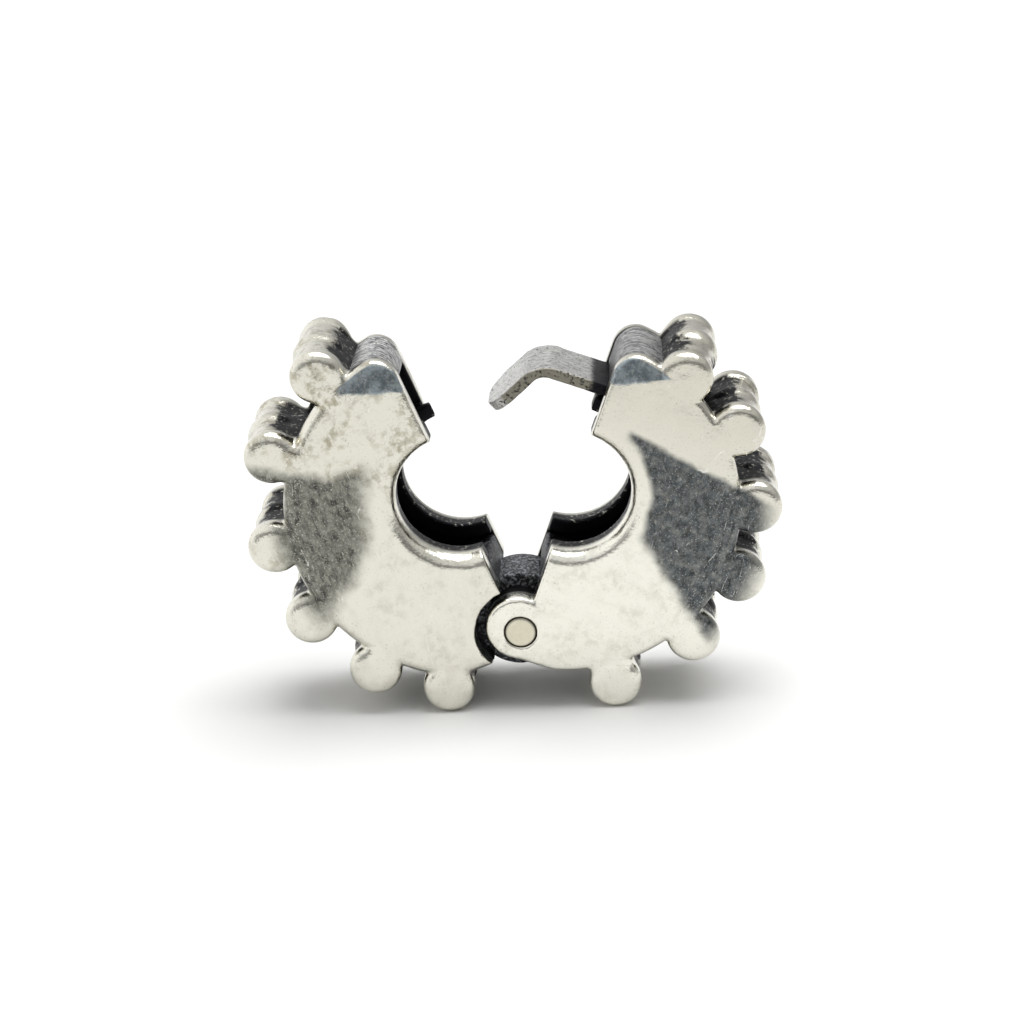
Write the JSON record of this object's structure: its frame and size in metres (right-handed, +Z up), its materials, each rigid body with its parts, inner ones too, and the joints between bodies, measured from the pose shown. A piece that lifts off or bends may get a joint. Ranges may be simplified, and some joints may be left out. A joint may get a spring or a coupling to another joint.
{
  "type": "hinged bead clasp",
  "caption": "Round hinged bead for a bracelet: two knobbed halves open on a pin like a clam and close round a strand with a spring tongue.",
  "frame": {"origin": "centre of the bounding box's foot, on the surface that the open bead stands on", "axes": "+Y runs along the hinge axis from the front face to the back face, +X runs from the left half to the right half, +Z is up"},
  "size_m": [0.019, 0.0046, 0.0139],
  "materials": {
    "polished_silver": "polished and worn, with fine scratches and small pits",
    "oxidised_silver": "blackened recesses, rough",
    "brushed_silver": "grey, brushed and pitted",
    "pin_metal": "pale tan, filed flush",
    "tongue_metal": "grey, pitted spring strip"
  },
  "bodies": {
    "left_half": {"left_front_face": "polished_silver", "left_back_face": "polished_silver", "left_wall": "oxidised_silver", "left_hump": "brushed_silver", "left_knuckle": "oxidised_silver", "left_knob_row_1": "polished_silver", "left_knob_row_2": "polished_silver", "left_knob_row_3": "polished_silver", "left_knob_row_4": "polished_silver", "left_knob_row_5": "polished_silver", "left_knob_row_6": "polished_silver", "hinge_pin": "pin_metal"},
    "right_half": {"right_front_face": "polished_silver", "right_back_face": "polished_silver", "right_wall": "oxidised_silver", "right_hump": "brushed_silver", "right_hinge_block": "oxidised_silver", "right_knob_row_1": "polished_silver", "right_knob_row_2": "polished_silver", "right_knob_row_3": "polished_silver", "right_knob_row_4": "polished_silver", "right_knob_row_5": "polished_silver", "right_knob_row_6": "polished_silver", "tongue_root": "oxidised_silver"},
    "tongue": {"snap_tongue": "tongue_metal"}
  },
  "joints": [
    {"name": "hinge", "type": "hinge", "parent": "left_half", "child": "right_half", "pos_m": [0.00006, 0, 0.00311], "axis": [0, -1, 0], "range_deg": [0, 42]},
    {"name": "tongue_flex", "type": "hinge", "parent": "right_half", "child": "tongue", "pos_m": [0.00383, 0, 0.01168], "axis": [0, -1, 0], "range_deg": [0, 6], "stiffness_Nm_per_rad": 0.02}
  ]
}
